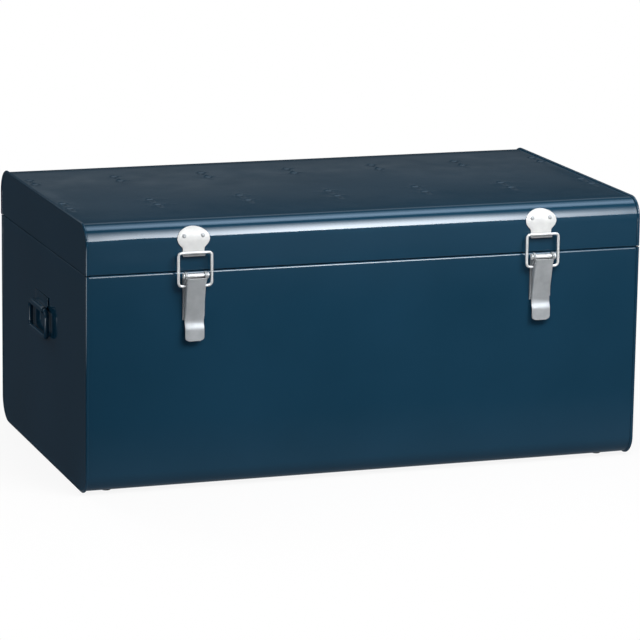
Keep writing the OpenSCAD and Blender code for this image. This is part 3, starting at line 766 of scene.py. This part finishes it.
def make_keeper(name):
    """Striker plate: oval head over the lid's rounded edge, neck, and a foot curled outward into a hook."""
    low, high = box_mm(f"keeper_{name}")
    centre = (low.x + high.x) / 2
    hook_r = (FRONT_Y - low.y) / 2
    hook_z = low.z + hook_r
    head_z = high.z - KEEPER_HEAD[1]
    bend_z = TOP_Z - FRONT_R
    reach = FRONT_R + SLIP
    top_angle = math.asin((high.z - bend_z) / reach)
    path = []
    steps = 28
    for k in range(steps):
        a = top_angle * math.sin(math.pi / 2 * (1 - k / steps))
        path.append(Vector((reach * math.cos(a) - FRONT_R, bend_z + reach * math.sin(a))))
    path += refined([Vector((SLIP, bend_z)), Vector((SLIP, hook_z))], 1.2)[:-1]
    widths = [keeper_half_width(p.y, head_z) for p in path]
    hook = [Vector(p) for p in arc(hook_r + SLIP, hook_z, hook_r, 180, HOOK_END, 24)]
    path += hook
    widths += [KEEPER_NECK] * len(hook)
    strip = bent_strip(path, widths, KEEPER_T, KEEPER_EDGE, lambda x, out, z: out_front(centre + x, out, z))
    # The keepers are drawn with the darker nickel copy, whose colour carries painted shade.
    piece(f"keeper_{name}_plate", [strip], "lid", "bright_nickel", [f"keeper_{name}"], look="shaded_nickel")
    return centre


def make_keeper_rivets(centres):
    """Small domed heads on the rounded edge, two on each keeper."""
    reach = FRONT_R + KEEPER_T
    out = reach * math.cos(RIVET_ANGLE) - FRONT_R
    z = TOP_Z - FRONT_R + reach * math.sin(RIVET_ANGLE)
    turn = Matrix.Rotation(math.pi / 2 - RIVET_ANGLE, 4, "X")
    parts = []
    for centre in centres:
        for x in (centre - RIVET_SPREAD, centre + RIVET_SPREAD):
            parts.append(lathe(RIVET_HEAD, Matrix.Translation(Vector(out_front(x, out, z))) @ turn, 24))
    piece("keeper_rivet_heads", parts, "lid", "bright_nickel", ["keeper_rivets"], look="satin_zinc")


def lever_section(half_width, depth, corner):
    """Channel section as (across, depth): round the outside from flange to flange, then back inside."""
    inner_width = half_width - LEVER_T
    inner_corner = max(0.1, corner - LEVER_T)
    across = [(half_width - corner) * (1 - 2 * k / 6) for k in range(7)]
    right = [(half_width, -depth)] + arc(half_width - corner, -corner, corner, 0, 90, 5)
    face = [(x, 0) for x in across[1:-1]]
    left = [(-x, d) for x, d in reversed(right)]
    inner_bend = arc(inner_width - inner_corner, -LEVER_T - inner_corner, inner_corner, 0, 90, 3)
    inner_left = [(-inner_width, -max(depth, corner, LEVER_T + inner_corner))]
    inner_left += [(-x, d) for x, d in inner_bend]
    inner_face = [(-x * 0.85, -LEVER_T) for x in across[1:-1]]
    inner_right = [(-x, d) for x, d in reversed(inner_left)]
    return right + face + left + inner_left + inner_face + inner_right


def make_lever(name):
    """Channel with tapering flanges, a finger tab at its foot and a lobe round the pin on each side."""
    low, high = box_mm(f"latch_lever_{name}")
    centre = (low.x + high.x) / 2
    half_width = (high.x - low.x) / 2
    pin_low, pin_high = box_mm(f"latch_pin_{name}")
    pin_out = FRONT_Y - (pin_low.y + pin_high.y) / 2
    pin_z = (pin_low.z + pin_high.z) / 2
    bend_z = pin_z - LEVER_BEND
    corners = [(FRONT_Y - low.y, pin_z - LEVER_TOP), (BEND_OUT, bend_z), (TAB_OUT, pin_z - TAB_TOP)]
    corners.append((TAB_OUT, low.z))
    path = refined(rounded(corners, [5, 3.2]), 2.2)
    path.reverse()
    loops = []
    for point, normal in zip(path, path_normals(path)):
        above_end = point.y - low.z
        width = half_width
        if above_end < TAB_CORNER:
            width -= TAB_CORNER - math.sqrt(max(0.0, TAB_CORNER**2 - (TAB_CORNER - above_end) ** 2))
        depth = max(LEVER_T, between(FLANGE_DEPTHS, point.y - bend_z))
        corner = TAB_EDGE + (LEVER_CORNER - TAB_EDGE) * fade(point.y - bend_z - 2, 8)
        loop = []
        for across, below in lever_section(width, depth, corner):
            spot = point + normal * below
            loop.append(out_front(centre + across, spot.x, spot.y))
        loops.append(loop)
    parts = [loft(loops)]
    skirt_z = pin_z - LOBE_DROP
    lobe = arc(pin_out, pin_z, LOBE_R, -36, 200, 18) + [(4.6, skirt_z), (15.6, skirt_z)]
    for side in (LEFT, RIGHT):
        parts.append(cheek(lobe, half_width - LEVER_T - PROUD, half_width + PROUD, 0.3, centre, side))
    piece(f"latch_lever_{name}_channel", parts, f"latch_lever_{name}", "satin_zinc", [f"latch_lever_{name}"])
    return centre, pin_out, pin_z, half_width


def make_pin(name, centre, pin_out, pin_z):
    """Tubular pin whose ends flare out and turn in to a shallow hollow."""
    low, high = box_mm(f"latch_pin_{name}")
    half = (high.x - low.x) / 2
    head = half - 2.3
    barrel = [(PIN_R, 0), (PIN_R, head - 0.2), (PIN_NECK_R, head)]
    flare = [(PIN_FLARE - 0.25, head + 0.9), (PIN_FLARE, head + 1.5), (PIN_FLARE - 0.1, half - 0.25)]
    hollow = [(3.7, half), (2.6, half - 0.5), (1.5, half - 2.0), (1.2, half - 3.2)]
    side = barrel + flare + hollow
    profile = [(r, -h) for r, h in reversed(side[1:])] + side
    turn = Matrix.Rotation(math.pi / 2, 4, "Y")
    turned = lathe(profile, Matrix.Translation(Vector(out_front(centre, pin_out, pin_z))) @ turn, 40)
    piece(f"latch_pin_{name}_barrel", [turned], "body", "bright_nickel", [f"latch_pin_{name}"])


def make_base(name, centre, pin_out, pin_z):
    """Back plate on the front wall, with an ear on each side that carries the pin."""
    low, high = box_mm(f"latch_base_{name}")
    half = (high.x - low.x) / 2
    top = pin_z - LOBE_R
    back = [(-half, low.z), (half, low.z), (half, top), (-half, top)]
    parts = [plate(back, 0.02, BASE_T, 0.25, lambda depth, x, z: out_front(centre + x, depth, z))]
    ear = arc(pin_out, pin_z, LOBE_R, -44, 136, 14)
    ear += [(0.2, top), (0.2, low.z + 4), (3.2, low.z + 4), (3.2, top - EAR_FOOT)]
    for side in (LEFT, RIGHT):
        parts.append(cheek(ear, half - EAR_T, half, 0.25, centre, side))
    piece(f"latch_base_{name}_plate", parts, "body", "satin_zinc", [f"latch_base_{name}"])


def make_wire(name, centre, half_width):
    """Wire loop from inside the lever's flanges, round and over the keeper's hook."""
    low, high = box_mm(f"latch_wire_{name}")
    leg = (high.x - low.x) / 2 - WIRE_R
    top_z, pivot_z = high.z - WIRE_R, low.z + WIRE_R
    pivot_out = FRONT_Y - low.y - WIRE_R
    top_out = pivot_out - WIRE_LEAN
    end = half_width - LEVER_T - 1
    right = [(leg, top_z), (leg, pivot_z), (end, pivot_z)]
    left = [(-x, z) for x, z in reversed(right)]
    points = []
    for p in rounded(left + right, [6, 5, 5, 6], 10):
        share = (p.y - pivot_z) / (top_z - pivot_z)
        points.append(Vector(out_front(centre + p.x, pivot_out + (top_out - pivot_out) * share, p.y)))
    across = Vector((0, -(top_z - pivot_z), pivot_out - top_out)).normalized()
    loop = tube(points, WIRE_R, across)
    piece(f"latch_wire_{name}_loop", [loop], f"latch_wire_{name}", "bright_nickel", [f"latch_wire_{name}"])


def make_latches():
    centres = []
    for name in SIDES:
        centres.append(make_keeper(name))
        centre, pin_out, pin_z, half_width = make_lever(name)
        make_pin(name, centre, pin_out, pin_z)
        make_base(name, centre, pin_out, pin_z)
        make_wire(name, centre, half_width)
    make_keeper_rivets(centres)


# ---- Handles ----

ROD_R = 3.5
BAIL_BEND = 9
CLIP_T = 1.2
CLIP_EDGE = 0.4
CLIP_SEAT = 0.2  # how far the strap's foot reaches into the end panel's face


def make_handle(name, side):
    """Drop bail: a closed rounded rectangle of bar."""
    low, high = box_mm(f"handle_{name}")
    middle_y = (low.y + high.y) / 2
    out = abs(low.x + high.x) / 2
    half = (high.y - low.y) / 2 - ROD_R
    top, bottom = high.z - ROD_R, low.z + ROD_R
    corners = [(0, top), (half, top), (half, bottom), (-half, bottom), (-half, top), (0, top)]
    outline = rounded(corners, [BAIL_BEND] * 4, 10)[:-1]
    path = [Vector((side * out, middle_y + p.x, p.y)) for p in outline]
    bar = tube(path, ROD_R, Vector((1, 0, 0)), closed=True, sides=28)
    piece(f"handle_{name}_bail", [bar], f"handle_{name}", "navy_enamel", [f"handle_{name}"])
    make_handle_clip(name, side, middle_y, out - HALF_W, top)


def make_handle_clip(name, side, middle_y, rise, bar_z):
    """Strap that lies on the end panel and wraps round the bail's top bar."""
    low, high = box_mm(f"handle_clip_{name}")
    half_width = (high.y - low.y) / 2
    wrap = arc(rise, bar_z, ROD_R + CLIP_T + 0.04, 128, -150, 30)
    strap = [(CLIP_T, high.z), (CLIP_T, bar_z + 7), (CLIP_T + 0.25, bar_z + 5.2)]
    path = refined([Vector(p) for p in strap + wrap], 1.5)
    path.reverse()

    def place(y, out, z):
        return (side * (HALF_W - CLIP_SEAT + out), middle_y + y, z)

    strip = bent_strip(path, [half_width] * len(path), CLIP_T, CLIP_EDGE, place)
    piece(f"handle_clip_{name}_strap", [strip], "body", "navy_enamel", [f"handle_clip_{name}"])


# ---- The rest of the CAD, shown as it is ----


def dress_cad():
    """Gives each CAD node that is still shown its finish and a slightly eased edge."""
    for part in frame["record"]["subparts"]:
        node = frame["nodes"][part["node"]]
        if node.hide_render:
            continue
        node.data.materials.clear()
        node.data.materials.append(finishes[part["material_slot"]])
        ease = node.modifiers.new("eased_edges", "BEVEL")
        ease.width = 0.15 * MM
        ease.segments = 2
        ease.limit_method = "ANGLE"
        ease.angle_limit = math.radians(40)


# ---- Studio, in metres ----

WHITE = (1, 1, 1, 1)
FLOOR_REACH = 12
CAMERA_PLACE = (-1.5379, -4.4473, 1.2045)
AZIMUTH, ELEVATION, ROLL = 19.163, 12.396, 0.8
SENSOR, LENS = 36, 194.5


def soft_box(name, place, aim, size, power):
    """Soft light at a place, aimed at a point, unseen by the camera and by reflections."""
    lamp = bpy.data.lights.new(name, "AREA")
    lamp.shape = "RECTANGLE"
    lamp.size, lamp.size_y = size
    lamp.energy = power
    made = bpy.data.objects.new(name, lamp)
    made.location = place
    made.rotation_euler = (Vector(aim) - Vector(place)).to_track_quat("-Z", "Y").to_euler()
    made.visible_camera = False
    made.visible_glossy = False
    bpy.context.scene.collection.objects.link(made)


def bare_material(name):
    """A material with an empty node tree, as (material, tree)."""
    material = bpy.data.materials.new(name)
    material.use_nodes = True
    material.node_tree.nodes.clear()
    return material, material.node_tree


def stage_quad(name, corners, material):
    """Flat four-sided sheet that belongs to the studio."""
    mesh = bpy.data.meshes.new(name)
    mesh.from_pydata(corners, [], [(0, 1, 2, 3)])
    mesh.materials.append(material)
    made = bpy.data.objects.new(name, mesh)
    bpy.context.scene.collection.objects.link(made)
    return made


def ramp(tree, value, stops):
    """Level between the stops, given as (share, level) pairs with levels from 0 to 1."""
    node = add_node(tree, "ShaderNodeValToRGB")
    elements = node.color_ramp.elements
    while len(elements) < len(stops):
        elements.new(0.5)
    for element, (share, level) in zip(elements, stops):
        element.position = share
        element.color = (level, level, level, 1)
    tree.links.new(value, node.inputs["Fac"])
    return node.outputs["Color"]


def glow_board(name, corner, across, up, colour, strength, rise, run):
    """Glowing panel that only reflections see; rise and run give its level up it and across it."""
    material, tree = bare_material(name)
    split = add_node(tree, "ShaderNodeSeparateXYZ")
    tree.links.new(add_node(tree, "ShaderNodeTexCoord").outputs["UV"], split.inputs[0])
    level = maths(tree, "MULTIPLY", ramp(tree, split.outputs["X"], run), ramp(tree, split.outputs["Y"], rise))
    glow = add_node(tree, "ShaderNodeEmission", {"Color": (*colour, 1)})
    tree.links.new(maths(tree, "MULTIPLY", level, strength), glow.inputs["Strength"])
    tree.links.new(glow.outputs[0], add_node(tree, "ShaderNodeOutputMaterial").inputs["Surface"])
    corner, across, up = Vector(corner), Vector(across), Vector(up)
    board = stage_quad(name, [corner, corner + across, corner + across + up, corner + up], material)
    spread = board.data.uv_layers.new(name="UVMap")
    for loop, place in zip(spread.data, ((0, 0), (1, 0), (1, 1), (0, 1))):
        loop.uv = place
    board.visible_camera = False
    board.visible_diffuse = False
    board.visible_shadow = False


def make_main_boards():
    """What the lid's front bend and top mirror: graded panels in front, overhead and behind."""
    glow_board(
        "front_board",
        corner=(0.1, -2.6, 1.13),
        across=(1.6, 0, 0),
        up=(0, 1.48, 1.9),
        colour=(0.94, 1, 1.07),
        strength=25,
        rise=[(0, 1), (0.3, 0.86), (0.5, 0.5), (0.75, 0.17), (1, 0)],
        run=[(0, 0.2), (0.15, 0.5), (0.42, 1), (0.6, 0.86), (0.78, 0.38), (1, 0.1)],
    )
    glow_board(
        "overhead_board",
        corner=(-0.1, -0.45, 2.95),
        across=(2, 0, 0),
        up=(0, 2.2, 0),
        colour=(0.57, 0.77, 1),
        strength=5.5,
        rise=[(0, 0.3), (0.12, 0.8), (0.3, 1), (0.42, 0.9), (0.61, 0.5), (0.8, 0.28), (1, 0.12)],
        run=[(0, 0.6), (0.4, 1), (1, 0.75)],
    )
    low_rise = [(0, 0.05), (0.026, 0.085), (0.04, 0.19), (0.056, 0.036), (0.16, 0.04)]
    glow_board(
        "rear_board",
        corner=(-1.5, 2.4, 0.7),
        across=(4.5, 0, 0),
        up=(0, 0, 2.3),
        colour=(0.85, 0.93, 1),
        strength=1.4,
        rise=low_rise + [(0.3, 0.3), (0.5, 0.3), (0.7, 0.1), (1, 0.1)],
        run=[(0, 1), (0.45, 0.9), (1, 0.6)],
    )


def make_side_boards():
    """Boards round the trunk that fade towards their edges, and two dim ones that its upright front mirrors."""
    pale = (0.9, 0.95, 1)
    rise = [(0, 0.2), (0.5, 1), (1, 0.3)]
    run = [(0, 0.6), (0.5, 1), (1, 0.6)]
    glow_board("rear_left_board", (-2.6, 2.3, 0.55), (1.8, 0, 0), (0, 0, 1.1), pale, 0.6, rise, run)
    glow_board("left_board", (-2.8, 1, 0.5), (0, -2.2, 0), (0, 0, 1.6), pale, 1.6, rise, run)
    glow_board("right_board", (2.9, -1.2, 0.5), (0, 2.2, 0), (0, 0, 1.6), pale, 1.6, rise, run)
    glow_board("left_floor_board", (-2.1, 0, 0.01), (0, -1.6, 0), (1, 0, 0), pale, 7, rise, run)
    run = [(0, 0.8), (0.45, 0.8), (0.55, 1), (0.65, 1), (0.8, 0.9), (1, 0.6)]
    rise = [(0, 0.9), (0.06, 0.7), (0.16, 0.15), (0.45, 0.15), (0.57, 0.5), (0.66, 1), (1, 1)]
    even = [(0, 1), (1, 1)]
    glow_board("front_floor_board", (-0.5, -0.19, 0.003), (1.7, 0, 0), (0, -2.43, 0), pale, 0.28, rise, run)
    glow_board("front_wall_board", (-0.5, -2.62, 0), (2.4, 0, 0), (0, 0, 1.12), pale, 0.28, even, run)


def make_floor():
    """A wide floor, white to the camera with a soft shadow near the trunk, and dim to every other ray."""
    material, tree = bare_material("pale_floor")
    link = tree.links.new
    rays = add_node(tree, "ShaderNodeLightPath")
    white = add_node(tree, "ShaderNodeEmission", {"Color": WHITE})
    shaded = add_node(tree, "ShaderNodeBsdfDiffuse", {"Color": (0.92, 0.92, 0.92, 1)})
    away = add_node(tree, "ShaderNodeVectorMath")
    away.operation = "LENGTH"
    link(add_node(tree, "ShaderNodeNewGeometry").outputs["Position"], away.inputs[0])
    limits = {"From Min": 0.4, "From Max": 0.8, "To Min": 0.1, "To Max": 0}
    shadow = add_node(tree, "ShaderNodeMapRange", limits)
    shadow.interpolation_type = "SMOOTHSTEP"
    link(away.outputs["Value"], shadow.inputs["Value"])
    pale = mix_shaders(tree, shadow.outputs["Result"], white, shaded)
    dim = add_node(tree, "ShaderNodeEmission", {"Color": (0.042, 0.046, 0.052, 1)})
    bounced = add_node(tree, "ShaderNodeMapRange", {"To Min": 1, "To Max": 3.6})
    link(rays.outputs["Is Diffuse Ray"], bounced.inputs["Value"])
    link(bounced.outputs["Result"], dim.inputs["Strength"])
    seen = mix_shaders(tree, rays.outputs["Is Camera Ray"], dim, pale)
    link(seen.outputs[0], add_node(tree, "ShaderNodeOutputMaterial").inputs["Surface"])
    far = FLOOR_REACH
    stage_quad("floor", [(-far, -far, 0), (far, -far, 0), (far, far, 0), (-far, far, 0)], material)


def make_world():
    """White to the camera; a dim, even room to everything else."""
    world = bpy.data.worlds.new("studio")
    bpy.context.scene.world = world
    world.use_nodes = True
    tree = world.node_tree
    tree.nodes.clear()
    rays = add_node(tree, "ShaderNodeLightPath")
    room = add_node(tree, "ShaderNodeBackground", {"Color": (0.9, 0.95, 1, 1), "Strength": 0.055})
    white = add_node(tree, "ShaderNodeBackground", {"Color": WHITE})
    seen = mix_shaders(tree, rays.outputs["Is Camera Ray"], room, white)
    tree.links.new(seen.outputs[0], add_node(tree, "ShaderNodeOutputWorld").inputs["Surface"])


def make_camera():
    """A long lens, seen from the front and a little to the left and above."""
    data = bpy.data.cameras.new("camera")
    data.sensor_width = SENSOR
    data.lens = LENS
    camera = bpy.data.objects.new("camera", data)
    azimuth, elevation, roll = (math.radians(angle) for angle in (AZIMUTH, ELEVATION, ROLL))
    turn = Matrix.Rotation(-azimuth, 4, "Z") @ Matrix.Rotation(math.pi / 2 - elevation, 4, "X")
    camera.matrix_world = Matrix.Translation(Vector(CAMERA_PLACE)) @ turn @ Matrix.Rotation(roll, 4, "Z")
    bpy.context.scene.collection.objects.link(camera)
    bpy.context.scene.camera = camera


def make_studio():
    soft_box("key", (0.95, -2.2, 1.9), (0, 0, 0.3), size=(1.3, 2.0), power=25)
    soft_box("near", (0.2, -0.95, 1.05), (0.05, -0.2, 0.3), size=(1.2, 0.4), power=13.3)
    soft_box("floor_bounce", (0, -0.4, 0.003), (0, -0.4, 1), size=(0.95, 0.42), power=0.6)
    soft_box("rear_fill", (-0.8, 2.6, 1.6), (0, 0, 0.2), size=(2, 1.5), power=55)
    soft_box("left_fill", (-2.6, -0.6, 1.2), (0, 0, 0.2), size=(1.5, 1.5), power=15)
    make_main_boards()
    make_side_boards()
    make_world()
    make_floor()
    make_camera()
    bpy.context.scene.view_settings.view_transform = "Standard"


make_body()
make_lid()
make_latches()
for side_name, side_sign in SIDES.items():
    make_handle(side_name, side_sign)
dress_cad()
make_studio()
